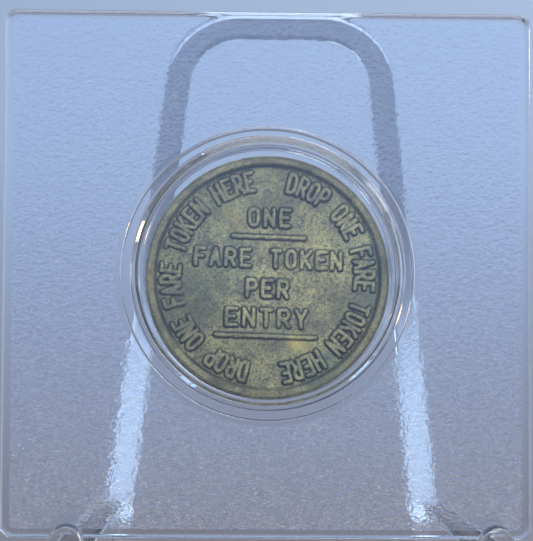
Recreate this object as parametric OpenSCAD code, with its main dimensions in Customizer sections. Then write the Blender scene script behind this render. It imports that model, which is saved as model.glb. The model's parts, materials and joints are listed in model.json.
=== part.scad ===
// A struck brass fare token in a clear two-piece snap case, leaning on a clear moulded easel.
// Millimetres. +X is to the right, +Y to the back, +Z up; the token's face looks to the front, -Y.

/* [Token] */
// Diameter of the token
token_d = 23.5; // [23:0.1:24]
// Thickness of the token over its rims
token_t = 1.9; // [1.5:0.1:1.9]
// Width of the raised rim round each face
rim_w = 0.9; // [0.6:0.05:1]
// Depth of the field below the rim, on each face
field_depth = 0.28; // [0.2:0.01:0.35]
// Height of the raised legend above the field
relief = 0.22; // [0.1:0.01:0.26]
// Clockwise turn of the token in its pocket
token_turn = 1.7; // [0:0.1:10]

/* [Legend] */
// Words that run round the face, once over each half
ring_words = "DROP ONE FARE TOKEN HERE"; // [DROP ONE FARE TOKEN HERE, TOKEN TOKEN TOKEN]
// Height of the ring's letters
ring_letter_h = 1.75; // [1.4:0.05:1.8]
// Radius at the middle of the ring's letters
ring_r = 9.35; // [9:0.05:9.4]
// Angle that one run of the ring's words takes
ring_sweep = 161; // [140:1:165]
// Height of the letters in the middle lines
line_letter_h = 1.55; // [1.2:0.05:1.8]
// Width of a letter's strokes
stroke_w = 0.4; // [0.3:0.02:0.46]

/* [Case] */
// Side of the square case
case_w = 50.8; // [48:0.1:54]
// Thickness of each shell's plate
plate_t = 1.5; // [1.3:0.1:2]
// Cut at each corner of the square
corner_cut = 0.7; // [0.4:0.1:2]
// Bevel along the outer edge of each plate
edge_bevel = 0.3; // [0.1:0.05:0.5]
// Diameter of the pocket that holds the token
pocket_d = 24.3; // [24.1:0.1:24.6]
// Height of each window above its plate
boss_h = 1.3; // [0.9:0.1:1.6]
// Outer radius of the round boss
boss_r = 14.2; // [14:0.1:15]

/* [Easel] */
// How far the case leans back, in degrees
lean = 12; // [8:1:16]
// How far the easel's middle is to the right of the case's
easel_shift = 1.3; // [0:0.1:2]
// Distance between the middles of the two hooks
hook_spacing = 40.6; // [38:0.1:44]
// Width of a hook
hook_w = 3.4; // [2.6:0.1:4]
// Height of the hooks above the ground
hook_h = 5.9; // [5:0.1:8]
// Room between the case and the hooks
hook_gap = 3.4; // [3.2:0.1:6]
// Height of the two base rails
rail_h = 3; // [2.4:0.1:4]
// Width of the arch at its shoulders
arch_top_w = 22.4; // [18:0.1:25]
// Width of the arch at the ground
arch_foot_w = 34; // [30:0.1:35]
// Width of the arch's bar
arch_bar = 2.35; // [2:0.05:3]
// Depth of the arch's bar
arch_depth = 2.6; // [2:0.1:3.5]

/* [Hidden] */
$fn = 96;
// Pieces that are joined run this far into each other.
overlap = 0.2;

// Token: the blank's edges, and how wide a letter is for the room it has.
half_t = token_t / 2;
token_r = token_d / 2;
edge_round = 0.15;
field_r = token_r - rim_w;
field_slope = 0.2;
line_letter_share = 0.55;
ring_letter_share = 0.6;
// The middle lines: [word, height of its middle, width it takes].
lines = [["ONE", 5.76, 4.5], ["FARE TOKEN", 1.82, 14.6], ["PER", -1.07, 4.5], ["ENTRY", -3.9, 8.4]];
// The rules under the first and the last line: [height, length].
rules = [[3.88, 6.9], [-5.68, 9.6]];
// The token's back: a ring of pearls round a diamond with a dot in it.
pearl_count = 36;
pearl_d = 0.8;
pearl_ring_r = 9.75;
diamond_w = 9;
diamond_line = 0.7;
dot_r = 1.6;

// Case: the two shells meet at z = 0 of the case's own frame, with a hair of air between them.
half_w = case_w / 2;
part_gap = 0.05;
boss_step = 0.5;
boss_draft = 0.12;
front_slope_w = 0.8;
back_slope_w = 0.15;
window_r = 12.5;
pocket_r = pocket_d / 2;
pocket_depth = 1;
snap_h = 1;
snap_r = pocket_r + 0.85;
snap_lead = 0.1;
snap_clearance = 0.08;
bead = 0.06;
bead_half = 0.12;
bead_z = 0.55;

// The token stands on the lower side of its pocket and lies against the pocket's bottom.
token_play = 0.02;
token_drop = pocket_r - token_r - token_play;
token_z = token_play - pocket_depth + half_t;

// Easel: the case's lower back edge stands on the rails at y = 0, and its top leans on the arch.
seat_clearance = 0.02;
arch_clearance = 0.12;
arch_drop = 0.2;
centre_y = half_w * sin(lean);
centre_z = rail_h + plate_t * sin(lean) + seat_clearance + half_w * cos(lean);
contact_up = half_w - arch_drop;
contact_out = plate_t + arch_clearance;
contact_y = centre_y + contact_up * sin(lean) + contact_out * cos(lean);
contact_z = centre_z + contact_up * cos(lean) - contact_out * sin(lean);
arch_foot_y = 18.5;
arch_lean = atan((arch_foot_y - contact_y) / contact_z);
arch_len = contact_z / cos(arch_lean);
arch_corner_r = 7.2;
// The arch's feet stop short of the ground, inside the rails.
arch_embed = 1;
hook_t = 2.2;
hook_x = hook_spacing / 2;
hook_back_y = -plate_t * cos(lean) - hook_gap;
rail_front_y = hook_back_y - hook_t;
rail_back_y = 22;
rail_margin = 0.15;
rail_back_out = arch_foot_w / 2 + rail_margin;
rail_back_in = arch_foot_w / 2 - arch_bar - rail_margin;
// Puts the middle of the easel's length at y = 0.
base_shift = -(rail_front_y + rail_back_y) / 2;

// Moves a thing from the case's own frame, x right, y up, z to the front, to where the case leans.
module in_case() {
    translate([0, centre_y + base_shift, centre_z])
        rotate([90 - lean, 0, 0])
            children();
}

// Strokes of the block letters, as lines of points in a box 1 wide and 1 high.
bowl = [[0, 0], [0, 1], [0.65, 1], [1, 0.85], [1, 0.6], [0.65, 0.45], [0, 0.45]];
function strokes(letter) =
    letter == "A" ? [[[0, 0], [0.5, 1], [1, 0]], [[0.2, 0.35], [0.8, 0.35]]] :
    letter == "D" ? [[[0, 0], [0, 1], [0.6, 1], [1, 0.75], [1, 0.25], [0.6, 0], [0, 0]]] :
    letter == "E" ? [[[1, 1], [0, 1], [0, 0], [1, 0]], [[0, 0.5], [0.8, 0.5]]] :
    letter == "F" ? [[[1, 1], [0, 1], [0, 0]], [[0, 0.5], [0.8, 0.5]]] :
    letter == "H" ? [[[0, 0], [0, 1]], [[1, 0], [1, 1]], [[0, 0.5], [1, 0.5]]] :
    letter == "K" ? [[[0, 0], [0, 1]], [[1, 1], [0, 0.4]], [[0.3, 0.58], [1, 0]]] :
    letter == "N" ? [[[0, 0], [0, 1], [1, 0], [1, 1]]] :
    letter == "O" ? [[[0.25, 0], [0, 0.2], [0, 0.8], [0.25, 1], [0.75, 1], [1, 0.8], [1, 0.2],
                      [0.75, 0], [0.25, 0]]] :
    letter == "P" ? [bowl] :
    letter == "R" ? [bowl, [[0.5, 0.45], [1, 0]]] :
    letter == "T" ? [[[0, 1], [1, 1]], [[0.5, 0], [0.5, 1]]] :
    letter == "Y" ? [[[0, 1], [0.5, 0.45], [1, 1]], [[0.5, 0.45], [0.5, 0]]] :
    [];

// One straight stroke between two points, with a square end round each.
module stroke(a, b) {
    along = (b - a) / norm(b - a) * stroke_w / 2;
    across = [-along.y, along.x];
    polygon([a - along - across, b + along - across, b + along + across, a - along + across]);
}

// A letter with its middle at the origin, w wide and h high between its strokes' middles.
module letter_shape(letter, w, h) {
    function place(p) = [(p.x - 0.5) * w, (p.y - 0.5) * h];
    for (line = strokes(letter), i = [1:len(line) - 1])
        stroke(place(line[i - 1]), place(line[i]));
}

module middle_lines() {
    for (row = lines) {
        pitch = row[2] / len(row[0]);
        for (i = [0:len(row[0]) - 1])
            translate([(i - (len(row[0]) - 1) / 2) * pitch, row[1]])
                letter_shape(row[0][i], pitch * line_letter_share, line_letter_h);
    }
    for (rule = rules)
        translate([0, rule[0]])
            square([rule[1], stroke_w], center = true);
}

module ring_legend() {
    step = ring_sweep / len(ring_words);
    first = (180 - ring_sweep + step) / 2;
    for (half = [0, 180], i = [0:len(ring_words) - 1])
        rotate(-half - first - i * step)
            translate([0, ring_r])
                letter_shape(ring_words[i], ring_r * sin(step) * ring_letter_share, ring_letter_h);
}

module front_legend() {
    linear_extrude(relief + overlap) {
        middle_lines();
        ring_legend();
    }
}

module back_ornament() {
    linear_extrude(relief + overlap) {
        for (i = [0:pearl_count - 1])
            rotate(i * 360 / pearl_count)
                translate([0, pearl_ring_r])
                    circle(d = pearl_d, $fn = 24);
        rotate(45)
            difference() {
                square(diamond_w, center = true);
                square(diamond_w - 2 * diamond_line, center = true);
            }
        circle(r = dot_r);
    }
}

// The plain disc, with a field sunk inside a raised rim on both faces.
module blank() {
    field_z = half_t - field_depth;
    slope_r = field_r + field_slope;
    flat_r = token_r - edge_round;
    rotate_extrude()
        polygon([[0, -field_z], [field_r, -field_z], [slope_r, -half_t], [flat_r, -half_t],
                 [token_r, -half_t + edge_round], [token_r, half_t - edge_round],
                 [flat_r, half_t], [slope_r, half_t], [field_r, field_z], [0, field_z]]);
}

module token() {
    legend_z = half_t - field_depth - overlap;
    color("darkkhaki")
        in_case()
            translate([0, -token_drop, token_z])
                rotate(-token_turn) {
                    blank();
                    translate([0, 0, legend_z]) front_legend();
                    rotate([0, 180, 0]) translate([0, 0, legend_z]) back_ornament();
                }
}

// A square plate from z = 0 to plate_t, with its corners cut and its upper edge bevelled.
module plate() {
    diagonal = (case_w - corner_cut) * sqrt(2);
    bevel_side = edge_bevel * sqrt(2);
    difference() {
        intersection() {
            translate([-half_w, -half_w, 0]) cube([case_w, case_w, plate_t]);
            rotate(45) translate([-diagonal / 2, -diagonal / 2, 0]) cube([diagonal, diagonal, plate_t]);
        }
        for (side = [0:90:270])
            rotate(side)
                translate([half_w, 0, plate_t])
                    rotate([0, 45, 0])
                        cube([bevel_side, case_w * 2, bevel_side], center = true);
    }
}

// The round boss on a plate: a low step, a ledge, then a slope up to the flat window. slope_w is the slope's width.
module boss(slope_w) {
    step_z = plate_t + boss_step;
    window_z = plate_t + boss_h;
    rotate_extrude()
        polygon([[0, plate_t - overlap], [boss_r, plate_t - overlap], [boss_r, plate_t],
                 [boss_r - boss_draft, step_z], [window_r + slope_w, step_z],
                 [window_r, window_z], [0, window_z]]);
}

// The pocket's wall as a solid plug, which the pocket is cut from. Its bead snaps into the front shell.
module snap_plug() {
    rotate_extrude()
        polygon([[0, -overlap], [snap_r, -overlap], [snap_r, bead_z - bead_half],
                 [snap_r + bead, bead_z], [snap_r, bead_z + bead_half], [snap_r, snap_h - snap_lead],
                 [snap_r - snap_lead, snap_h], [0, snap_h]]);
}

module back_shell() {
    color("lightsteelblue", 0.35)
        in_case()
            difference() {
                union() {
                    mirror([0, 0, 1]) plate();
                    mirror([0, 0, 1]) boss(back_slope_w);
                    snap_plug();
                }
                translate([0, 0, -pocket_depth]) cylinder(r = pocket_r, h = pocket_depth + 2 * snap_h);
            }
}

module front_shell() {
    socket_r = snap_r + snap_clearance;
    socket_h = snap_h + snap_clearance;
    groove_z = bead_z - part_gap;
    color("lightsteelblue", 0.35)
        in_case()
            translate([0, 0, part_gap])
                difference() {
                    union() {
                        plate();
                        boss(front_slope_w);
                    }
                    rotate_extrude()
                        polygon([[0, -1], [socket_r, -1], [socket_r, groove_z - bead_half],
                                 [socket_r + bead, groove_z], [socket_r, groove_z + bead_half],
                                 [socket_r, socket_h], [0, socket_h]]);
                }
}

// A tapered outline with two round shoulders of radius r, half_top wide there and half_foot at its foot.
module arch_outline(half_top, half_foot, length, r) {
    shoulder_x = half_top - r;
    shoulder_y = length - r;
    splay = atan((half_foot - half_top) / shoulder_y);
    tangent_x = shoulder_x + r * cos(splay);
    tangent_y = shoulder_y + r * sin(splay);
    for (side = [-1, 1])
        translate([side * shoulder_x, shoulder_y]) circle(r = r);
    polygon([[-half_foot, arch_embed], [-tangent_x, tangent_y], [-shoulder_x, length],
             [shoulder_x, length], [tangent_x, tangent_y], [half_foot, arch_embed]]);
}

module arch() {
    translate([0, arch_foot_y, 0])
        rotate([90 + arch_lean, 0, 0])
            mirror([0, 0, 1])
                linear_extrude(arch_depth)
                    difference() {
                        arch_outline(arch_top_w / 2, arch_foot_w / 2, arch_len, arch_corner_r);
                        // A hair lower at the foot, so that the opening runs out of the outline.
                        translate([0, -0.01])
                            arch_outline(arch_top_w / 2 - arch_bar, arch_foot_w / 2 - arch_bar,
                                         arch_len - arch_bar + 0.01, arch_corner_r - arch_bar);
                    }
}

// A rail lies on the ground from under the arch's foot to its hook, at the right or left side.
module rail(side) {
    linear_extrude(rail_h)
        polygon([[side * (hook_x - hook_w / 2), rail_front_y], [side * (hook_x + hook_w / 2), rail_front_y],
                 [side * rail_back_out, rail_back_y], [side * rail_back_in, rail_back_y]]);
}

// An upright with a round top, at the front end of a rail.
module hook(side) {
    round_z = hook_h - hook_w / 2;
    translate([side * hook_x, hook_back_y, 0])
        rotate([90, 0, 0])
            linear_extrude(hook_t) {
                translate([-hook_w / 2, 0]) square([hook_w, round_z]);
                translate([0, round_z]) circle(d = hook_w);
            }
}

module easel() {
    color("lightblue", 0.35)
        translate([easel_shift, base_shift, 0]) {
            arch();
            for (side = [-1, 1]) {
                rail(side);
                hook(side);
            }
        }
}

token();
front_shell();
back_shell();
easel();
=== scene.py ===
"""A struck brass fare token in a clear snap case, which leans on a clear moulded easel.

Sizes are in millimetres until a mesh is placed. The case's own frame has its origin where the two
shells meet, with x to the right, y up the case and z out of its face. The token's own frame has the
same directions, with its origin in the token's middle."""

import json
import math

import bmesh
import bpy
import numpy as np
from mathutils import Matrix, Vector


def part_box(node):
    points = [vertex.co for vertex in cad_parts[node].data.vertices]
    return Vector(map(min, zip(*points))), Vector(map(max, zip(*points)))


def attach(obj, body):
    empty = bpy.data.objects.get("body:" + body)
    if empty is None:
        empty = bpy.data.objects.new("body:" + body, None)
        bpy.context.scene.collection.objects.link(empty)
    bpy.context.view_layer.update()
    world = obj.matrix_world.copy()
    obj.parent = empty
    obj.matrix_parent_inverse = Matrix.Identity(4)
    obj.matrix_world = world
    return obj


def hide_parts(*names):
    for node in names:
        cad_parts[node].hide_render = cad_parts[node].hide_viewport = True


MM = 0.001
TAU = 2 * math.pi

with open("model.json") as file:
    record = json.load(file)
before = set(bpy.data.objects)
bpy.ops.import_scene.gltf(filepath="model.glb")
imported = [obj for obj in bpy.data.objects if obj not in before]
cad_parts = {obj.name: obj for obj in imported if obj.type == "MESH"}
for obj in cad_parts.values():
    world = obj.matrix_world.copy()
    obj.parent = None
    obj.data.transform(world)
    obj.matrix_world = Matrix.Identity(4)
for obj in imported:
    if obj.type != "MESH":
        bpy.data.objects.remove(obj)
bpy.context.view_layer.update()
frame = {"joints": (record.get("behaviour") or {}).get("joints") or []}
scene = bpy.context.scene

# ---------------------------------------------------------------- the frames

joints = {joint["name"]: joint for joint in frame["joints"]}
FACE = Vector(joints["cover_pull"]["axis"]).normalized()
RIGHT = Vector((1, 0, 0))
UP = FACE.cross(RIGHT)
CASE_AXES = np.column_stack([RIGHT, UP, FACE])

shell_low, shell_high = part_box("back_shell")
HALF = shell_high.x / MM
CASE_MIDDLE = Vector((0, shell_low.y + shell_high.x * UP.y, shell_high.z - shell_high.x * UP.z))
TOKEN_MIDDLE = Vector(joints["token_spin"]["pos_m"])


def placed(points, middle):
    """Points of the case's or the token's own frame, in millimetres, as points of the row frame."""
    return np.asarray(points, float) @ CASE_AXES.T * MM + np.array(middle)


# ---------------------------------------------------------------- sizes

# Token
TOKEN_R = 11.75
TOKEN_HALF_T = 0.95
TOKEN_ROUND = 0.15
FIELD_DEPTH = 0.28
RELIEF = 0.22
RIM_W = 0.9
FIELD_R = TOKEN_R - RIM_W
TOKEN_TURN = math.radians(1.7)
STROKE_HALF = 0.21
STROKE_FLANK = 0.09
RING_R = 9.35
RING_SWEEP = math.radians(161)
RING_LETTER_H = 1.75
LINE_LETTER_H = 1.55
# How much of its pitch a letter takes, in the ring and in the lines.
RING_LETTER_SHARE = 0.6
LINE_LETTER_SHARE = 0.55
# The back's pearls, diamond and dot.
PEARLS = 36
PEARL_RING_R = 9.75
PEARL_R = 0.2
DIAMOND_HALF = 4.15
DIAMOND_LINE_HALF = 0.15
DOT_R = 1.4
# The distance between a face's rings of points, and the most points in one.
FRONT_PITCH, FRONT_COUNT = 0.1, 720
BACK_PITCH, BACK_COUNT = 0.16, 360
# From this radius outwards the rings have the most points.
FULL_COUNT_R = 5.5

# Case
PLATE_T = 1.5
PART_GAP = 0.05
CORNER_CUT = 0.7
EDGE_BEVEL = 0.36
BOSS_R = 14.2
BOSS_STEP = 0.5
BOSS_DRAFT = 0.12
# Width of the slope from the ledge to the window, in front and behind.
SLOPE_W = {1: 0.8, -1: 0.15}
BOSS_H = 1.3
WINDOW_R = 12.5
POCKET_R = 12.15
POCKET_DEPTH = 1.0
SNAP_R = 13.0
SNAP_H = 1.0
SNAP_CLEARANCE = 0.08
# The bead on the snap wall: (radius, height).
BEAD = [(SNAP_R, 0.42), (SNAP_R + 0.06, 0.55), (SNAP_R, 0.67)]
# The first ring of points round the middle of a flat round face.
FLAT_R = 6

# Easel
RAIL_H = 3.0
ARCH_BAR = 2.35
ARCH_DEPTH = 2.6
ARCH_TOP_W = 22.4
ARCH_FOOT_W = 34.0
HOOK_W = 3.4
HOOK_H = 5.9
HOOK_T = 2.2
HOOK_SPACING = 40.6
ARCH_LEAN = math.radians(6.946)
ARCH_CORNER_R = 7.2
# The round of the arch bar's long edges.
ARCH_EDGE = 0.4
# From the front of the hooks to the front of the arch's foot.
ARCH_FOOT_Y = 25.567
# The rounds of the rails and hooks: along the ground, along the top and in front, and at a back end.
GROUND_ROUND = 0.4
TOP_ROUND = 0.5
END_ROUND = 0.35
# How far the points beside a round stand below the top of a rail or the neck of a hook.
SHOULDER = 0.6


# ---------------------------------------------------------------- mesh helpers

def new_object(name, points, faces, material_of=None, materials=(), sharp_deg=40):
    """A mesh object from its points and faces, shaded smooth but for its sharp edges."""
    mesh = bpy.data.meshes.new(name)
    mesh.from_pydata([tuple(p) for p in points], [], faces)
    mesh.validate()
    mesh.shade_smooth()
    mesh.set_sharp_from_angle(angle=math.radians(sharp_deg))
    for material in materials:
        mesh.materials.append(material)
    if material_of is not None:
        mesh.polygons.foreach_set("material_index", material_of)
    mesh.update()
    made = bpy.data.objects.new(name, mesh)
    scene.collection.objects.link(made)
    return made


def outward(made, merge=0.0):
    """Turns a closed mesh's faces to the outside, after merging points that are nearer than merge."""
    work = bmesh.new()
    work.from_mesh(made.data)
    if merge:
        bmesh.ops.remove_doubles(work, verts=work.verts, dist=merge)
    bmesh.ops.recalc_face_normals(work, faces=work.faces)
    work.to_mesh(made.data)
    work.free()


def loft(loops):
    """Points and faces of a closed surface through loops of one count, and each face's row.

    A loop of one point is a pole."""
    points = np.concatenate([np.atleast_2d(loop) for loop in loops])
    starts = np.cumsum([0] + [len(np.atleast_2d(loop)) for loop in loops])
    faces, rows = [], []
    for row in range(len(loops) - 1):
        a, b = starts[row], starts[row + 1]
        n, m = b - a, starts[row + 2] - b
        for i in range(max(n, m)):
            j = (i + 1) % max(n, m)
            if n == 1:
                faces.append((a, b + i, b + j))
            elif m == 1:
                faces.append((a + j, a + i, b))
            else:
                faces.append((a + i, b + i, b + j, a + j))
            rows.append(row)
    return points, faces, rows


def capped(loops):
    """The same loops with a pole in the middle of the first and the last."""
    return [loops[0].mean(0)[None]] + loops + [loops[-1].mean(0)[None]]


def rounded(points, radii, steps=4, beside=0.15):
    """An open line of points in the plane, with each corner rounded off by its radius.

    One more point on each side of a round keeps the flat beside it flat to the light as well."""
    points = [np.array(p, float) for p in points]
    made = [points[0]]
    for before, corner, after, radius in zip(points, points[1:], points[2:], radii):
        if radius <= 0:
            made.append(corner)
            continue
        to_a = (before - corner) / np.linalg.norm(before - corner)
        to_b = (after - corner) / np.linalg.norm(after - corner)
        bend = math.acos(np.clip(-to_a @ to_b, -1, 1))
        cut = radius * math.tan(bend / 2)
        start, end = corner + to_a * cut, corner + to_b * cut
        made.append(start + to_a * radius * beside)
        for k in range(steps + 1):
            t = k / steps
            made.append((1 - t) ** 2 * start + 2 * t * (1 - t) * corner + t * t * end)
        made.append(end + to_b * radius * beside)
    made.append(points[-1])
    return made


def arc(cx, cy, rx, ry, start, end, steps=6):
    angles = np.radians(np.linspace(start, end, steps + 1))
    return [(cx + rx * math.cos(a), cy + ry * math.sin(a)) for a in angles]


def smooth(low, high, x):
    """A soft step from 0 at low to 1 at high."""
    t = np.clip((x - low) / (high - low), 0, 1)
    return t * t * (3 - 2 * t)


def bell(distance, width):
    """1 at no distance, falling off softly over width."""
    return np.exp(-(distance / width) ** 2)


def blended(a, b, t):
    return a * (1 - t) + b * t


# ---------------------------------------------------------------- materials

class Nodes:
    """The node tree of a material or a world, with a short way to add nodes and links."""

    def __init__(self, owner):
        owner.use_nodes = True
        self.owner = owner
        self.tree = owner.node_tree
        self.tree.nodes.clear()

    def add(self, kind, **settings):
        node = self.tree.nodes.new(kind)
        for key, value in settings.items():
            if key in node.bl_rna.properties:
                setattr(node, key, value)
            else:
                node.inputs[key.replace("_", " ")].default_value = value
        return node

    def link(self, source, target):
        self.tree.links.new(source, target)

    def finished(self, surface, output="ShaderNodeOutputMaterial"):
        """The material or world, with its surface linked."""
        self.link(surface, self.add(output).inputs["Surface"])
        return self.owner

    def noise(self, coords, scale, detail=2.0, roughness=0.5):
        node = self.add("ShaderNodeTexNoise", Scale=scale, Detail=detail, Roughness=roughness)
        self.link(coords, node.inputs["Vector"])
        return node.outputs["Fac"]

    def bump(self, height, distance, below=None):
        """The normal of bumps that are distance high, in metres, on top of the normal below."""
        node = self.add("ShaderNodeBump", Strength=1.0, Distance=distance)
        self.link(height, node.inputs["Height"])
        if below is not None:
            self.link(below, node.inputs["Normal"])
        return node.outputs["Normal"]

    def ramp(self, factor, stops):
        """A colour ramp: stops is [(position, value or colour)]."""
        node = self.add("ShaderNodeValToRGB")
        ramp = node.color_ramp
        while len(ramp.elements) < len(stops):
            ramp.elements.new(0.5)
        for element, (position, colour) in zip(ramp.elements, stops):
            element.position = position
            element.color = (*colour, 1) if isinstance(colour, tuple) else (colour, colour, colour, 1)
        self.link(factor, node.inputs["Fac"])
        return node.outputs["Color"]

    def span(self, value, low, high):
        """0 where the value is low, 1 where it is high, and held there past both."""
        node = self.add("ShaderNodeMapRange")
        node.inputs["From Min"].default_value = low
        node.inputs["From Max"].default_value = high
        self.link(value, node.inputs["Value"])
        return node.outputs[0]

    def mix(self, factor, a, b):
        """Colour a to colour b. factor is a socket, and a and b are sockets or colours."""
        node = self.add("ShaderNodeMix", data_type="RGBA")
        self.link(factor, node.inputs[0])
        for socket, value in ((node.inputs[6], a), (node.inputs[7], b)):
            if isinstance(value, bpy.types.NodeSocket):
                self.link(value, socket)
            else:
                socket.default_value = (*value, 1)
        return node.outputs[2]

    def maths(self, operation, a, b=None):
        """a is a socket, and b is a socket or a number."""
        node = self.add("ShaderNodeMath", operation=operation)
        self.link(a, node.inputs[0])
        if isinstance(b, bpy.types.NodeSocket):
            self.link(b, node.inputs[1])
        elif b is not None:
            node.inputs[1].default_value = b
        return node.outputs[0]

    def attribute(self, name):
        return self.add("ShaderNodeAttribute", attribute_name=name).outputs["Fac"]

    def object_coords(self, stretch=(1, 1, 1)):
        coords = self.add("ShaderNodeTexCoord").outputs["Object"]
        mapping = self.add("ShaderNodeMapping")
        mapping.inputs["Scale"].default_value = stretch
        self.link(coords, mapping.inputs["Vector"])
        return mapping.outputs["Vector"]


PLASTIC_IOR = 1.57
SKIN_IOR = 2.0
SKIN_ROUGHNESS = 0.04
# The share of a lamp's light that each surface of the plastic lets through.
LAMPS_THROUGH = (0.9, 0.92, 0.95, 1)
# The pebbles are a little wider than high.
PEBBLE_STRETCH = (0.75, 1, 1)
PEBBLE_DETAIL = 2


def clear_plastic(name, tint, roughness, ripple=None, skin=None):
    """Clear polystyrene that lets the lamps' light through. ripple and skin are (noise scale, height).

    The skin is the ripple of a glossy coat. It shows in what the surface reflects, and not in what is
    seen through it."""
    n = Nodes(bpy.data.materials.new(name))
    plastic = n.add("ShaderNodeBsdfPrincipled", Roughness=roughness, IOR=PLASTIC_IOR)
    plastic.inputs["Base Color"].default_value = (*tint, 1)
    plastic.inputs["Transmission Weight"].default_value = 1.0

    def pebbles(scale, height):
        return n.bump(n.noise(n.object_coords(PEBBLE_STRETCH), scale, PEBBLE_DETAIL), height)

    if ripple is not None:
        n.link(pebbles(*ripple), plastic.inputs["Normal"])
    if skin is not None:
        plastic.inputs["Coat Weight"].default_value = 1.0
        plastic.inputs["Coat Roughness"].default_value = SKIN_ROUGHNESS
        plastic.inputs["Coat IOR"].default_value = SKIN_IOR
        n.link(pebbles(*skin), plastic.inputs["Coat Normal"])
    lamps = n.add("ShaderNodeBsdfTransparent")
    lamps.inputs["Color"].default_value = LAMPS_THROUGH
    mixer = n.add("ShaderNodeMixShader")
    n.link(n.add("ShaderNodeLightPath").outputs["Is Shadow Ray"], mixer.inputs[0])
    n.link(plastic.outputs[0], mixer.inputs[1])
    n.link(lamps.outputs[0], mixer.inputs[2])
    return n.finished(mixer.outputs[0])


# The patina's colours. The olive goes from dull to bright.
OLIVE = [(0.34, (0.19, 0.18, 0.09)), (0.5, (0.37, 0.34, 0.155)), (0.64, (0.52, 0.47, 0.21))]
BROWN = (0.20, 0.175, 0.13)
DIRT = (0.075, 0.08, 0.065)
PITS = (0.06, 0.062, 0.04)
TEAL_STAIN = (0.07, 0.14, 0.12)
LIME_STAIN = (0.66, 0.56, 0.16)
RUBBED = (0.62, 0.50, 0.27)
# The darkest colour: dark patina in the hollows, with painted shade there too.
PATINA_AND_SHADE_DARK = (0.018, 0.022, 0.02)


def token_brass():
    """Aged struck brass: olive patina on the field, dark patina with painted shade round the legend, rubbed
    high places.
    """
    n = Nodes(bpy.data.materials.new("aged_brass"))
    coords = n.object_coords()
    cloud = n.noise(coords, 190, 5, 0.6)
    patches = n.noise(coords, 520, 6, 0.7)
    mottle = n.noise(coords, 2300, 5, 0.8)
    grain = n.noise(coords, 7000, 3, 0.75)
    field = n.ramp(cloud, OLIVE)
    field = n.mix(n.ramp(patches, [(0.46, 0.0), (0.6, 0.75)]), field, BROWN)
    field = n.mix(n.ramp(mottle, [(0.5, 0.0), (0.62, 0.85)]), field, DIRT)
    field = n.mix(n.ramp(grain, [(0.4, 0.85), (0.53, 0.0)]), field, PITS)
    field = n.mix(n.attribute("teal"), field, TEAL_STAIN)
    field = n.mix(n.attribute("lime"), field, LIME_STAIN)
    worn = n.mix(n.maths("MULTIPLY", n.attribute("high"), 0.18), field, RUBBED)
    brass = n.add("ShaderNodeBsdfPrincipled", Metallic=0.6)
    # Dark patina and painted shade in the creases round the legend and at the rim's foot.
    n.link(n.mix(n.attribute("patina_and_shade"), worn, PATINA_AND_SHADE_DARK), brass.inputs["Base Color"])
    n.link(n.ramp(patches, [(0.35, 0.34), (0.65, 0.56)]), brass.inputs["Roughness"])
    n.link(n.bump(mottle, 0.00007, n.bump(grain, 0.000018)), brass.inputs["Normal"])
    return n.finished(brass.outputs[0])


POLISHED = clear_plastic("clear_polished", (0.97, 0.98, 1.0), 0.02)
PEBBLED = clear_plastic(
    "clear_pebbled", (0.95, 0.965, 1.0), 0.05, ripple=(3000, 0.000032), skin=(2900, 0.00005))
# The easel's plastic is clear; the arch's dark tint is painted shade, for how the bar looks darker against
# the bright room.
MOULDED_SHADE_TINT = clear_plastic("moulded_shade_tinted", (0.4, 0.37, 0.37), 0.2)
FOOT = clear_plastic("clear_foot", (0.93, 0.9, 0.88), 0.06)

# ---------------------------------------------------------------- the token's legend

# Strokes of the block letters, as lines of points in a box 1 wide and 1 high.
BOWL = [(0, 0.45), (0.6, 0.45), *arc(0.6, 0.725, 0.4, 0.275, -80, 80), (0.6, 1), (0, 1)]
BELLY = [*arc(0.5, 0.7, 0.5, 0.3, 80, 0), *arc(0.5, 0.3, 0.5, 0.3, 0, -80)]
ROUND = [*arc(0.5, 0.72, 0.5, 0.28, 0, 180, 10), *arc(0.5, 0.28, 0.5, 0.28, 180, 360, 10), (1, 0.72)]
LETTERS = {
    "A": [[(0, 0), (0.5, 1), (1, 0)], [(0.2, 0.33), (0.8, 0.33)]],
    "D": [[(0, 0), (0, 1), (0.5, 1), *BELLY, (0.5, 0), (0, 0)]],
    "E": [[(1, 1), (0, 1), (0, 0), (1, 0)], [(0, 0.52), (0.8, 0.52)]],
    "F": [[(1, 1), (0, 1), (0, 0)], [(0, 0.52), (0.8, 0.52)]],
    "H": [[(0, 0), (0, 1)], [(1, 0), (1, 1)], [(0, 0.5), (1, 0.5)]],
    "K": [[(0, 0), (0, 1)], [(1, 1), (0, 0.4)], [(0.3, 0.58), (1, 0)]],
    "N": [[(0, 0), (0, 1), (1, 0), (1, 1)]],
    "O": [ROUND],
    "P": [[(0, 0), (0, 1)], BOWL],
    "R": [[(0, 0), (0, 1)], BOWL, [(0.5, 0.45), (1, 0)]],
    "T": [[(0, 1), (1, 1)], [(0.5, 0), (0.5, 1)]],
    "Y": [[(0, 1), (0.5, 0.45), (1, 1)], [(0.5, 0.45), (0.5, 0)]],
}
RING_WORDS = "DROP ONE FARE TOKEN HERE"
# The middle lines: (word, height of its middle, width it takes).
LINES = [("ONE", 5.76, 4.5), ("FARE TOKEN", 1.82, 14.6), ("PER", -1.07, 4.5), ("ENTRY", -3.9, 8.4)]
# The rules under the first and the last line: (height, length).
RULES = [(3.88, 6.9), (-5.68, 9.6)]


def turned(points, angle):
    c, s = math.cos(angle), math.sin(angle)
    return np.asarray(points, float) @ np.array([[c, s], [-s, c]])


def letter_strokes(sign, w, h):
    """A letter's strokes round its own middle, w wide and h high. A space has none."""
    return [np.array([((x - 0.5) * w, (y - 0.5) * h) for x, y in line]) for line in LETTERS.get(sign, [])]


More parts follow.
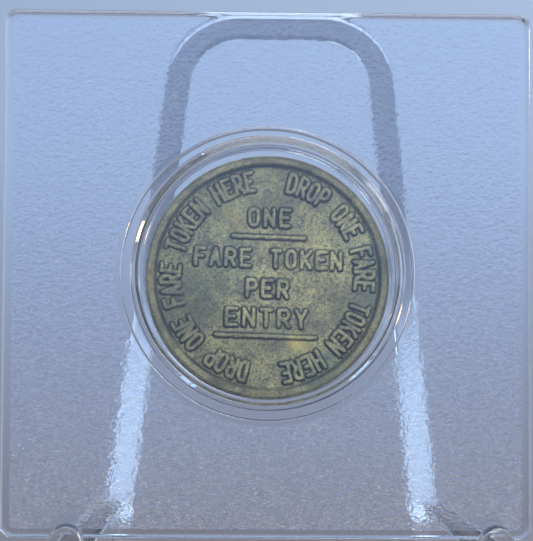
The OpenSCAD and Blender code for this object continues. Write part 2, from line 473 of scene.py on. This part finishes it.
def legend_strokes():
    """Every stroke of the legend as a line of points in the token's own frame."""
    made = []
    for word, height, width in LINES:
        pitch = width / len(word)
        for i, sign in enumerate(word):
            shift = np.array([(i - (len(word) - 1) / 2) * pitch, height])
            made += [line + shift for line in letter_strokes(sign, pitch * LINE_LETTER_SHARE, LINE_LETTER_H)]
    for height, length in RULES:
        made.append(np.array([(-length / 2, height), (length / 2, height)]))
    step = RING_SWEEP / len(RING_WORDS)
    first = (math.pi - RING_SWEEP + step) / 2
    letter_w = RING_R * math.sin(step) * RING_LETTER_SHARE
    for start in (0, math.pi):
        for i, sign in enumerate(RING_WORDS):
            angle = -start - first - i * step
            strokes = letter_strokes(sign, letter_w, RING_LETTER_H)
            made += [turned(line + [0, RING_R], angle) for line in strokes]
    return [turned(line, -TOKEN_TURN) for line in made]


def distance_to(lines, points, reach):
    """Distance of each point to the nearest of the lines, up to reach."""
    nearest = np.full(len(points), reach, float)
    for line in lines:
        low, high = line.min(0) - reach, line.max(0) + reach
        near = np.flatnonzero(((points > low) & (points < high)).all(1))
        p = points[near]
        best = nearest[near]
        for a, b in zip(line, line[1:]):
            along = b - a
            t = np.clip((p - a) @ along / (along @ along + 1e-12), 0, 1)
            best = np.minimum(best, np.linalg.norm(p - a - t[:, None] * along, axis=1))
        nearest[near] = best
    return nearest


# ---------------------------------------------------------------- the token's faces

def wobble(points, scale, seed):
    """Soft noise over the plane, mostly from -1 to 1, by a sum of turned waves."""
    rng = np.random.default_rng(seed)
    total = np.zeros(len(points))
    for k in range(12):
        angle, phase = rng.uniform(0, TAU, 2)
        wave = scale * rng.uniform(0.6, 1.7)
        total += np.sin(points @ [math.cos(angle) * wave, math.sin(angle) * wave] + phase)
    return total / 5


def rim_profile(r):
    """Height of the rim above the field at radius r, from 0 to 1."""
    return smooth(FIELD_R - 0.1, FIELD_R + 0.22, r)


def struck(raised, rim):
    """Height of a face over the token's middle plane, by its figure and its rim, each from 0 to 1."""
    return TOKEN_HALF_T - FIELD_DEPTH + RELIEF * raised * (1 - rim) + FIELD_DEPTH * rim


def face_height(points):
    """Height of the token's face over its middle plane, with the attributes that the patina and its painted
    shade read.
    """
    r = np.linalg.norm(points, axis=1)
    rim = rim_profile(r)
    d = distance_to(legend_strokes(), points, 1.0) + 0.03 * wobble(points, 5.0, 3)
    raised = 1 - smooth(STROKE_HALF - STROKE_FLANK, STROKE_HALF + STROKE_FLANK, d)
    z = struck(raised * (0.86 + 0.14 * wobble(points, 0.5, 5)), rim)
    z += 0.008 * wobble(points, 1.4, 7) * (1 - rim) + 0.004 * wobble(points, 6, 9)
    # Dark patina lies round the letters and at the rim's foot, with painted shade in those creases too; more
    # dark lies in spots on the rim, and the face is darker at the edge and towards the left.
    patina_and_shade = np.maximum.reduce([
        bell(d - STROKE_HALF - 0.05, 0.085) * (1.15 + 0.45 * wobble(points, 1.1, 11)),
        bell(r - (FIELD_R - 0.12), 0.16) * (0.85 + 0.3 * wobble(points, 0.8, 13)),
        rim * (0.3 + 0.25 * wobble(points, 1.6, 17)),
        smooth(TOKEN_R - 0.36, TOKEN_R - 0.16, r) * 0.85,
        smooth(-1.5, -8.5, points[:, 0]) * 0.3,
    ])
    high = np.maximum(raised, rim * (1 - smooth(TOKEN_R - 0.2, TOKEN_R, r)))
    return z, np.clip(patina_and_shade, 0, 1), np.clip(high * (0.6 + 0.5 * wobble(points, 1.3, 15)), 0, 1)


def back_height(points):
    """The same for the token's back: a ring of pearls round a diamond with a dot in it."""
    r = np.linalg.norm(points, axis=1)
    rim = rim_profile(r)
    pitch = TAU / PEARLS
    off = (np.arctan2(points[:, 1], points[:, 0]) + pitch / 2) % pitch - pitch / 2
    pearl = np.hypot(r - PEARL_RING_R, off * PEARL_RING_R) - PEARL_R
    diamond = np.abs(np.abs(points).sum(1) / math.sqrt(2) - DIAMOND_HALF) - DIAMOND_LINE_HALF
    d = np.minimum.reduce([pearl, diamond, r - DOT_R])
    raised = 1 - smooth(0.05, 0.3, d)
    z = struck(raised, rim) + 0.008 * wobble(points, 1.4, 21) * (1 - rim)
    # Dark patina and painted shade round the back's figure and at the rim's foot.
    patina_and_shade = np.maximum(bell(d - 0.33, 0.13), bell(r - (FIELD_R - 0.12), 0.2))
    return z, patina_and_shade * (0.75 + 0.3 * wobble(points, 1.1, 23)), np.maximum(raised, rim)


# Stains of the face: (x, y, radius, strength) in the token's own frame.
TEAL = [(-3.6, 2.2, 2.2, 0.55), (10.2, 3.0, 2.4, 0.6), (10.4, -1.5, 2.2, 0.5), (3.4, -9.4, 2.4, 0.6),
        (-9.2, -4.9, 1.3, 0.5), (6.2, -8.6, 1.6, 0.5), (1.6, -5.2, 1.2, 0.3),
        (-7.0, -0.5, 3.6, 0.3), (-5.0, 6.0, 3.0, 0.2)]
LIME = [(2.6, -6.3, 0.8, 0.75), (4.0, -7.1, 0.8, 0.6), (-3.4, 5.7, 1.3, 0.3), (4.6, 3.4, 1.2, 0.25)]


def stain_attributes(points):
    """How much teal and lime stain lies on each point. The back has none."""
    flat = points[:, :2]
    front = points[:, 2] > 0
    made = {}
    for name, spots, seed in (("teal", TEAL, 31), ("lime", LIME, 37)):
        total = np.zeros(len(points))
        for x, y, radius, strength in spots:
            total += strength * bell(np.hypot(flat[:, 0] - x, flat[:, 1] - y), radius)
        made[name] = np.clip(total * (0.6 + 0.5 * wobble(flat, 2.2, seed)), 0, 1) * front
    return made


# ---------------------------------------------------------------- the token's mesh

def ring_faces(a, n, b, m):
    """Faces between a ring of n points from index a and the next of m points from index b."""
    if n == m:
        return [(a + i, b + i, b + (i + 1) % n, a + (i + 1) % n) for i in range(n)]
    if n == 1:
        return [(a, b + i, b + (i + 1) % m) for i in range(m)]
    if m == 1:
        return [(a + (i + 1) % n, a + i, b) for i in range(n)]
    made = []
    for i in range(min(n, m)):
        j, p, q, r = (i + 1) % min(n, m), 2 * i, 2 * i + 1, (2 * i + 2) % max(n, m)
        if n < m:
            made += [(a + i, b + p, b + q), (a + i, b + q, a + j), (a + j, b + q, b + r)]
        else:
            made += [(b + i, a + q, a + p), (b + i, b + j, a + q), (b + j, a + r, a + q)]
    return made


def disc_rings(pitch, most):
    """(radius, count) of a face's rings, which are closer at the rim.

    The count doubles where the points would be too far apart."""
    rim_from, rim_to = FIELD_R - 0.3, FIELD_R + 0.4
    radii = np.r_[np.arange(pitch, rim_from, pitch),
                  np.linspace(rim_from, rim_to, round((rim_to - rim_from) / pitch * 1.6)),
                  np.linspace(FIELD_R + 0.5, TOKEN_R - TOKEN_ROUND, 4)]
    halvings = [max(0, math.ceil(math.log2(FULL_COUNT_R / r))) for r in radii]
    return [(r, max(most // 8, most // 2 ** times)) for r, times in zip(radii, halvings)]


def circle(count, r):
    a = np.arange(count) * TAU / count
    return np.c_[r * np.cos(a), r * np.sin(a)]


def face_rings(side, pitch, most, shape):
    """Rings of one face from its middle outwards, with rows of x, y, z, dark patina with painted shade, and
    high.
    """
    flats = [circle(count, r) for r, count in [(0.0, 1)] + disc_rings(pitch, most)]
    z, patina_and_shade, high = shape(np.concatenate(flats))
    splits = np.cumsum([len(flat) for flat in flats])[:-1]
    columns = [np.split(values, splits) for values in (side * z, patina_and_shade, high)]
    return [np.c_[row] for row in zip(flats, *columns)]


def edge_ring(count, r, z, patina_and_shade, high):
    return np.c_[circle(count, r), np.tile([z, patina_and_shade, high], (count, 1))]


def round_ring(count, side, turn):
    """A ring of the round between a face and the edge. turn is 0 at the face."""
    r = TOKEN_R - TOKEN_ROUND + TOKEN_ROUND * math.sin(turn)
    z = side * (TOKEN_HALF_T - TOKEN_ROUND + TOKEN_ROUND * math.cos(turn))
    return edge_ring(count, r, z, 0.1, 0.6)


def build_token():
    """One closed mesh: the struck face, the round edge and the back."""
    turns = np.radians(np.linspace(0, 90, 5))
    rings = face_rings(1, FRONT_PITCH, FRONT_COUNT, face_height)
    rings += [round_ring(FRONT_COUNT, 1, turn) for turn in turns[1:]]
    rings += [edge_ring(FRONT_COUNT, TOKEN_R, share * TOKEN_HALF_T, 0.25, 0.3) for share in (0.33, -0.33)]
    rings += [round_ring(BACK_COUNT, -1, turn) for turn in turns[:0:-1]]
    rings += face_rings(-1, BACK_PITCH, BACK_COUNT, back_height)[::-1]
    points = np.concatenate(rings)
    starts = np.cumsum([0] + [len(ring) for ring in rings])
    faces = []
    for k in range(len(rings) - 1):
        faces += ring_faces(starts[k], len(rings[k]), starts[k + 1], len(rings[k + 1]))
    made = new_object(
        "token_struck", placed(points[:, :3], TOKEN_MIDDLE), faces, materials=[token_brass()], sharp_deg=80)
    # The dark patina with painted shade, the rubbed high places and the stains, which the brass reads.
    patina_shade_and_stains = {"patina_and_shade": points[:, 3], "high": points[:, 4], **stain_attributes(points)}
    for name, values in patina_shade_and_stains.items():
        made.data.attributes.new(name, "FLOAT", "POINT").data.foreach_set("value", values.astype(np.float32))
    return made


# ---------------------------------------------------------------- the case's shells

def outline_angles(per_side=88):
    """Angles of a shell's loops, with one at each end of each corner's cut."""
    corner = math.atan2(HALF - CORNER_CUT, HALF)
    side = np.r_[np.linspace(-corner, corner, per_side), math.pi / 4]
    return np.concatenate([side + k * math.pi / 2 for k in range(4)])


ANGLES = outline_angles()
DIRECTIONS = np.c_[np.cos(ANGLES), np.sin(ANGLES)]


def circle_loop(r, z):
    return np.c_[DIRECTIONS * r, np.full(len(ANGLES), z)]


def square_loop(inset, z):
    """The plate's outline with its corners cut, moved in by inset."""
    across = np.abs(DIRECTIONS)
    cut_corner = 2 * HALF - CORNER_CUT - inset * math.sqrt(2)
    r = np.minimum((HALF - inset) / across.max(1), cut_corner / across.sum(1))
    return np.c_[DIRECTIONS * r[:, None], np.full(len(ANGLES), z)]


def pole(z):
    return np.array([[0, 0, z]])


def shell_outside(side, part_z):
    """Loops of a shell's outside, from the window's middle to the parting face, and its pebbled rows.

    side is 1 in front, -1 behind."""
    base = part_z + side * PLATE_T
    step = base + side * BOSS_STEP
    top = base + side * BOSS_H
    foot_r = BOSS_R + 0.5
    profile = rounded(
        [(FLAT_R, top), (WINDOW_R, top), (WINDOW_R + SLOPE_W[side], step),
         (BOSS_R - BOSS_DRAFT, step), (BOSS_R, base), (foot_r, base)],
        [0.08, 0.05, 0.06, 0.05])
    loops = [pole(top)] + [circle_loop(r, z) for r, z in profile]
    inner, outer = circle_loop(foot_r, base), square_loop(EDGE_BEVEL + 0.45, base)
    first_pebbled = len(loops) - 1
    loops += [blended(inner, outer, t) for t in np.linspace(0, 1, 9)[1:]]
    last_pebbled = len(loops) - 2
    edge = rounded([(EDGE_BEVEL + 0.3, base), (0, base), (0, part_z + side * 0.4)], [EDGE_BEVEL], 5)
    edge += rounded([(0, part_z + side * 0.25), (0, part_z), (0.3, part_z)], [0.05], 3)
    loops += [square_loop(inset, z) for inset, z in edge]
    return loops, (first_pebbled, last_pebbled)


def parting_loops(r, z):
    """Loops of the flat parting face, in to radius r."""
    return [blended(square_loop(0.3, z), circle_loop(r, z), t) for t in (0.5, 1)]


def shell_object(name, body, loops, pebbled):
    points, faces, rows = loft(loops)
    material_of = [1 if pebbled[0] <= row <= pebbled[1] else 0 for row in rows]
    made = new_object(
        name, placed(points, CASE_MIDDLE), faces, material_of, [POLISHED, PEBBLED], sharp_deg=35)
    outward(made)
    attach(made, body)
    return made


def build_front_shell():
    """The cover, with the socket for the snap wall inside."""
    loops, pebbled = shell_outside(1, PART_GAP)
    socket_r = SNAP_R + SNAP_CLEARANCE
    roof = SNAP_H + SNAP_CLEARANCE + PART_GAP
    loops += parting_loops(socket_r + 0.5, PART_GAP)
    profile = rounded(
        [(socket_r + 0.4, PART_GAP), (socket_r, PART_GAP), (socket_r, roof), (FLAT_R, roof)], [0.06, 0.1])
    loops += [circle_loop(r, z) for r, z in profile] + [pole(roof)]
    return shell_object("front_cover_clear", "case_front", loops, pebbled)


def build_back_shell():
    """The back, with the snap wall, its bead and the pocket inside."""
    loops, pebbled = shell_outside(-1, 0)
    loops += parting_loops(SNAP_R + 0.5, 0)
    profile = rounded(
        [(SNAP_R + 0.4, 0), (SNAP_R, 0), *BEAD, (SNAP_R, SNAP_H),
         (POCKET_R, SNAP_H), (POCKET_R, -POCKET_DEPTH), (FLAT_R, -POCKET_DEPTH)],
        [0.06, 0, 0, 0, 0.12, 0.12, 0.1])
    loops += [circle_loop(r, z) for r, z in profile] + [pole(-POCKET_DEPTH)]
    return shell_object("back_cover_clear", "case_back", loops, pebbled)


# ---------------------------------------------------------------- the easel

# Turns through a round, from one face to the next.
ROUND_TURNS = np.radians(np.linspace(0, 90, 6))


def round_rect(middle, half_w, low, high, r_low, r_high, shoulder, steps=7):
    """Points round a box from low to high with its corners rounded, and two more up each side.

    The upper of those two is at shoulder."""
    waist = RAIL_H * 0.6
    corners = [
        (middle - half_w + r_low, low + r_low, r_low, 180),
        (middle + half_w - r_low, low + r_low, r_low, 270),
        (middle + half_w, waist, 0, 0),
        (middle + half_w, shoulder, 0, 0),
        (middle + half_w - r_high, high - r_high, r_high, 0),
        (middle - half_w + r_high, high - r_high, r_high, 90),
        (middle - half_w, shoulder, 0, 0),
        (middle - half_w, waist, 0, 0),
    ]
    made = []
    for x, z, r, start in corners:
        made += arc(x, z, r, r, start, start + 90, steps) if r > 0 else [(x, z)]
    return np.array(made)


def standing(loop, y):
    """A loop of x and z as a loop across the rail at y."""
    return np.c_[loop[:, 0], np.full(len(loop), y), loop[:, 1]]


def rail_with_hook(side, middle, front, back):
    """A rail of the foot and the hook on its front end, as loops across it from front to back."""
    hook_x, half_hook = middle + side * HOOK_SPACING / 2, HOOK_W / 2
    end_x, half_end = middle + side * (ARCH_FOOT_W - ARCH_BAR) / 2, ARCH_BAR / 2 + 0.15
    step_y = front + HOOK_T
    neck = HOOK_H - half_hook

    def hook(inset, y, dome_inset=0.0):
        loop = round_rect(hook_x, half_hook - inset, inset, HOOK_H - inset,
                          GROUND_ROUND - inset * 0.6, half_hook - inset, neck - SHOULDER)
        on_dome = loop[:, 1] > neck - 0.01
        loop[on_dome] = (hook_x, neck) + (loop[on_dome] - (hook_x, neck)) * (1 - dome_inset / half_hook)
        return standing(loop, y)

    def rail(y, inset=0.0, lift=0.0):
        t = np.clip((y - step_y) / (back - step_y), 0, 1)
        x, half = blended(hook_x, end_x, t), blended(half_hook - 0.03, half_end, t)
        high = RAIL_H + lift - inset
        loop = round_rect(x, half - inset, 0.02 + inset, high,
                          GROUND_ROUND - inset * 0.6, TOP_ROUND - inset * 0.6, high - SHOULDER)
        return standing(loop, y)

    into = [(1 - math.sin(a), 1 - math.cos(a)) for a in ROUND_TURNS]
    loops = [hook(TOP_ROUND * s, front + TOP_ROUND * c) for s, c in into]
    loops += [hook(0, step_y - END_ROUND * s, END_ROUND * c) for s, c in into]
    loops += [rail(step_y + TOP_ROUND * c, lift=TOP_ROUND * s) for s, c in into]
    loops += [rail(y) for y in np.linspace(step_y + TOP_ROUND, back - END_ROUND, 14)[1:]]
    loops += [rail(back - END_ROUND * s, END_ROUND * c) for s, c in into[1:]]
    return capped(loops)


def arch_line(length):
    """The middle line of the arch's bar in its own plane, from the right foot to the left."""
    half_top, half_foot = (ARCH_TOP_W - ARCH_BAR) / 2, (ARCH_FOOT_W - ARCH_BAR) / 2
    r, top = ARCH_CORNER_R - ARCH_BAR / 2, length - ARCH_BAR / 2
    splay = math.atan((half_foot - half_top) / (top - r))
    elbow = np.array([half_top - r + r * math.cos(splay), top - r + r * math.sin(splay)])
    foot = np.array([half_foot, 0])
    right = [blended(foot, elbow, t) for t in np.linspace(0.02, 1, 20)[:-1]]
    bends = np.linspace(splay, math.pi / 2, 26)
    right += [(half_top - r + r * math.cos(a), top - r + r * math.sin(a)) for a in bends]
    return np.array([*right, *[(-x, y) for x, y in right[::-1]]])


def arch_loops(middle, foot_y, top_z):
    """The arch's bar, swept round its middle line from foot to foot, as loops of its rounded section."""
    across = np.array([1, 0, 0])
    plane_up = np.array([0, -math.sin(ARCH_LEAN), math.cos(ARCH_LEAN)])
    plane_out = np.array([0, math.cos(ARCH_LEAN), math.sin(ARCH_LEAN)])
    line = arch_line((top_z - ARCH_DEPTH * math.sin(ARCH_LEAN)) / math.cos(ARCH_LEAN))
    half = ARCH_BAR / 2
    closed = [(0, 0), (half, 0), (half, ARCH_DEPTH), (-half, ARCH_DEPTH), (-half, 0), (0, 0)]
    section = rounded(closed, [ARCH_EDGE] * 4, 5)[:-1]
    tangents = np.gradient(line, axis=0)
    tangents /= np.linalg.norm(tangents, axis=1)[:, None]
    foot = np.array([middle, foot_y, 0])
    loops = []
    for p, t in zip(line, tangents):
        loops.append(np.array([
            foot + across * (p[0] - t[1] * u) + plane_up * (p[1] + t[0] * u) + plane_out * w
            for u, w in section]))
    return capped(loops)


def united(pieces):
    """The first piece with the others joined to it. They are in millimetres, and it comes out in metres."""
    first, others = pieces[0], pieces[1:]
    for piece in others:
        union = first.modifiers.new("union", "BOOLEAN")
        union.operation, union.solver, union.object = "UNION", "EXACT", piece
        union.material_mode = "TRANSFER"
    bpy.context.view_layer.update()
    graph = bpy.context.evaluated_depsgraph_get()
    mesh = bpy.data.meshes.new_from_object(first.evaluated_get(graph))
    first.modifiers.clear()
    mesh.transform(Matrix.Scale(MM, 4))
    first.data = mesh
    mesh.shade_smooth()
    mesh.set_sharp_from_angle(angle=math.radians(35))
    for piece in others:
        bpy.data.objects.remove(piece)
    return first


def build_easel():
    """The arch and the two rails with their hooks, as one closed mesh."""
    low, high = (np.array(corner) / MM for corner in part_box("easel"))
    middle = (low[0] + high[0]) / 2
    # The arch takes the dark-tinted plastic, whose tint is painted shade.
    parts = [(arch_loops(middle, low[1] + ARCH_FOOT_Y, high[2]), MOULDED_SHADE_TINT)]
    parts += [(rail_with_hook(side, middle, low[1], high[1]), FOOT) for side in (-1, 1)]
    pieces = []
    for k, (loops, material) in enumerate(parts):
        points, faces, _ = loft(loops)
        piece = new_object(f"easel_part_{k}", points, faces, materials=[material])
        outward(piece, merge=1e-4)
        pieces.append(piece)
    pieces[0].name = "easel_clear"
    easel = united(pieces)
    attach(easel, "easel")
    return easel


# ---------------------------------------------------------------- making the pieces

token = build_token()
outward(token)
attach(token, "token")
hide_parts("token")

front = build_front_shell()
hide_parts("front_shell")

back = build_back_shell()
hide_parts("back_shell")

easel = build_easel()
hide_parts("easel")

# ---------------------------------------------------------------- floor and backdrop

# The floor's colours from near the object to far behind it, and far back at the sides. The darker, warmer
# colour near the object is a painted shadow.
FLOOR_AND_SHADOW = [(0.0, (0.21, 0.185, 0.185)), (0.45, (0.235, 0.245, 0.28)), (1.0, (0.28, 0.315, 0.36))]
FLOOR_ASIDE = (0.1, 0.11, 0.13)
# Where those changes begin and end, in metres back and to the side.
FLOOR_BACK = (0.02, 0.42)
FLOOR_SIDE = (0.16, 0.4)


def sweep_paint():
    """Pale paint: greyer and darker near the object, which is a painted shadow, bluer further back, and
    dimmer far back at the sides.
    """
    n = Nodes(bpy.data.materials.new("pale_floor_painted_shadow"))
    split = n.add("ShaderNodeSeparateXYZ")
    n.link(n.object_coords(), split.inputs[0])
    back = n.span(split.outputs["Y"], *FLOOR_BACK)
    aside = n.span(n.maths("ABSOLUTE", split.outputs["X"]), *FLOOR_SIDE)
    # Darker and warmer near the object: a painted shadow.
    colour = n.mix(n.maths("MULTIPLY", aside, back), n.ramp(back, FLOOR_AND_SHADOW), FLOOR_ASIDE)
    paint = n.add("ShaderNodeBsdfPrincipled", Roughness=0.6)
    n.link(colour, paint.inputs["Base Color"])
    return n.finished(paint.outputs[0])


def build_floor():
    """A pale sweep: flat round the object, and curving up far behind it."""
    width, flat_to, radius = 3000, 350, 800
    line = [(-2500, 0), (-600, 0), (0, 0), (flat_to, 0)]
    curve = np.radians(np.arange(4, 33, 4))
    line += [(flat_to + radius * math.sin(a), radius * (1 - math.cos(a))) for a in curve]
    points = [(x, y, z) for y, z in line for x in (-width / 2, width / 2)]
    faces = [(2 * i, 2 * i + 1, 2 * i + 3, 2 * i + 2) for i in range(len(line) - 1)]
    new_object("floor_sweep", np.array(points) * MM, faces, materials=[sweep_paint()])


build_floor()

# ---------------------------------------------------------------- light

# The room's light in front of the object: (sine of the direction's height, colour).
ROOM = [(0.19, (0.045, 0.045, 0.055)), (0.235, (0.19, 0.25, 0.38)), (0.31, (0.48, 0.69, 1.13))]
# Behind the object and at the sides.
BEHIND = (0.07, 0.075, 0.095)
LEFT_SIDE = (0.75, 0.88, 1.1)
RIGHT_SIDE = (1.15, 1.35, 1.7)


def build_world():
    """A room with a pale blue window high in front of the object, and pale walls at its sides."""
    n = Nodes(bpy.data.worlds.new("studio"))
    split = n.add("ShaderNodeSeparateXYZ")
    n.link(n.add("ShaderNodeTexCoord").outputs["Generated"], split.inputs[0])
    lit = n.mix(n.span(split.outputs["Y"], 0.3, -0.2), BEHIND, n.ramp(split.outputs["Z"], ROOM))
    sides = n.mix(n.span(split.outputs["X"], -0.5, 0.5), LEFT_SIDE, RIGHT_SIDE)
    aside = n.span(n.maths("ABSOLUTE", split.outputs["X"]), 0.4, 0.75)
    room = n.add("ShaderNodeBackground")
    n.link(n.mix(aside, lit, sides), room.inputs["Color"])
    scene.world = n.finished(room.outputs[0], "ShaderNodeOutputWorld")


def area_light(name, at, size, energy, colour, target=(0, 0, 0.028), only=()):
    """A lamp at a place in metres, facing its target. It lights everything, or the pieces in only."""
    data = bpy.data.lights.new(name, "AREA")
    data.shape = "RECTANGLE"
    data.size, data.size_y = size
    data.energy = energy
    data.color = colour
    lamp = bpy.data.objects.new(name, data)
    lamp.location = at
    lamp.rotation_euler = (Vector(target) - Vector(at)).to_track_quat("-Z", "Y").to_euler()
    lamp.visible_camera = False
    scene.collection.objects.link(lamp)
    if only:
        lit = bpy.data.collections.new(f"lit_by_{name}")
        for piece in only:
            lit.objects.link(piece)
        lamp.light_linking.receiver_collection = lit


build_world()
area_light("top_soft", (0.1, 0.1, 0.9), (0.8, 0.8), 5.2, (0.87, 0.92, 1.0))
area_light("back_wash", (0.35, 0.6, 0.5), (0.5, 0.5), 3.0, (0.75, 0.87, 1.0), target=(0, 0.6, 0))
area_light("leg_glow", (0.0, 0.083, 0.0006), (0.14, 0.134), 0.165, (0.49, 0.73, 1.0),
           target=(0, 0.083, 1), only=[easel])
area_light("key", (0.14, -0.42, 0.32), (0.3, 0.3), 2.0, (1.0, 0.97, 0.9), only=[token])
area_light("warm_side", (-0.142, 0.268, 0.045), (0.04, 0.02), 0.02, (1.0, 0.62, 0.3), only=[front, back])
area_light("low_strip", (-0.03, -0.7, 0.03), (0.5, 0.08), 0.25, (1.0, 0.9, 0.82), only=[front, back])

# ---------------------------------------------------------------- camera

# The camera's place in the case's own frame: it stands this far off, a little left and below the case's axis.
CAMERA_DISTANCE = 295.3
CAMERA_TILT = math.radians(-4.6)
CAMERA_TURN = math.radians(2.2)
CAMERA_ROLL = math.radians(-0.27)
CAMERA_AIM = (0.05, -0.38)
LENS = 203.3
SENSOR_W = 36


def add_camera():
    turn = (Matrix.Rotation(CAMERA_ROLL, 3, "Z") @ Matrix.Rotation(CAMERA_TILT, 3, "X")
            @ Matrix.Rotation(CAMERA_TURN, 3, "Y"))
    own = turn.transposed() @ Vector((-CAMERA_AIM[0], -CAMERA_AIM[1], CAMERA_DISTANCE))
    axes = Matrix(CASE_AXES.tolist())
    data = bpy.data.cameras.new("camera")
    data.lens = LENS
    data.sensor_width = SENSOR_W
    data.clip_start = 0.01
    camera = bpy.data.objects.new("camera", data)
    place = Matrix.Translation(CASE_MIDDLE + axes @ own * MM)
    camera.matrix_world = place @ (axes @ turn.transposed()).to_4x4()
    scene.collection.objects.link(camera)
    scene.camera = camera


add_camera()
scene.view_settings.view_transform = "Standard"
scene.cycles.max_bounces = 24
scene.cycles.transmission_bounces = 24
scene.cycles.transparent_max_bounces = 16
scene.cycles.sample_clamp_indirect = 5
